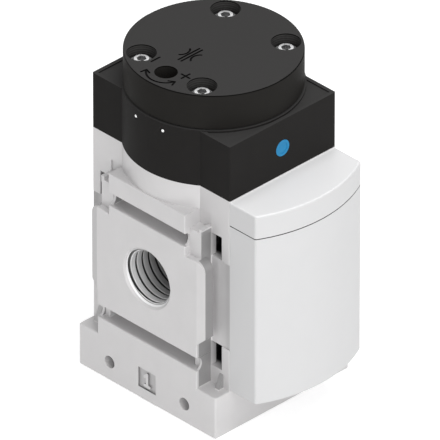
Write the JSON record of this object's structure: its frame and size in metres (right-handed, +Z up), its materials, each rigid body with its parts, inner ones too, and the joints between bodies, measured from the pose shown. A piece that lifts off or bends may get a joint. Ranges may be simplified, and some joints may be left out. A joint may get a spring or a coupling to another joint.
{
  "type": "pneumatic pressure build-up valve",
  "caption": "Pressure build-up valve of a compressed-air service unit: die-cast body with threaded ports on two sides, black pilot housing with a round cap, and a curved white front cover.",
  "frame": {"origin": "centre of the bounding box at the level of the base's underside", "axes": "+Z up along the valve axis, -Y towards the curved front cover, -X towards port 1 and +X towards port 2"},
  "size_m": [0.062, 0.0828, 0.125],
  "materials": {
    "die_cast": "fine matt cast",
    "black_housing": "fine matt grain",
    "black_cap": "fine matt grain",
    "white_plastic": "smooth satin",
    "blue_plastic": "smooth",
    "bright_steel": "bright zinc plated",
    "spring_steel": "plain",
    "aluminium": "turned",
    "brass": "turned",
    "seal_rubber": "matt"
  },
  "bodies": {
    "root": {"valve_body": "die_cast", "pilot_housing": "black_housing", "pilot_cap": "black_cap", "cap_screws": "bright_steel", "channel_balls": "bright_steel", "front_plug": "blue_plastic", "front_cover": "white_plastic", "cover_top_strip": "white_plastic", "throttle_bush": "brass", "guide_plate": "aluminium", "guide_seal": "seal_rubber", "stem_seal": "seal_rubber", "bottom_plug": "aluminium", "bottom_plug_seal": "seal_rubber", "retaining_ring": "spring_steel", "housing_gasket": "seal_rubber", "cap_gasket": "seal_rubber"},
    "valve_train": {"control_piston": "aluminium", "piston_seal": "seal_rubber", "valve_stem": "bright_steel", "lock_nuts": "bright_steel", "valve_poppet": "aluminium", "poppet_seal": "seal_rubber", "valve_spring": "spring_steel"},
    "throttle_slide": {"throttle_seal": "seal_rubber"},
    "throttle_screw": {"throttle_screw": "brass"}
  },
  "joints": [
    {"name": "valve_stroke", "type": "slide", "parent": "root", "child": "valve_train", "axis": [0, 0, -1], "range_m": [0, 0.004], "stiffness_N_per_m": 2000, "springref_m": -0.006, "deforming": ["valve_spring"]},
    {"name": "throttle_lift", "type": "slide", "parent": "root", "child": "throttle_slide", "axis": [0, 0, 1], "range_m": [0, 0.003]},
    {"name": "throttle_turn", "type": "hinge", "parent": "throttle_slide", "child": "throttle_screw", "pos_m": [-0.0219, 0.00907, 0.1016], "axis": [0, 0, 1], "range_deg": [0, 1440]}
  ],
  "couplings": [
    {"joint": "throttle_turn", "follows": "throttle_lift", "rad_per_m": 8377.6}
  ]
}
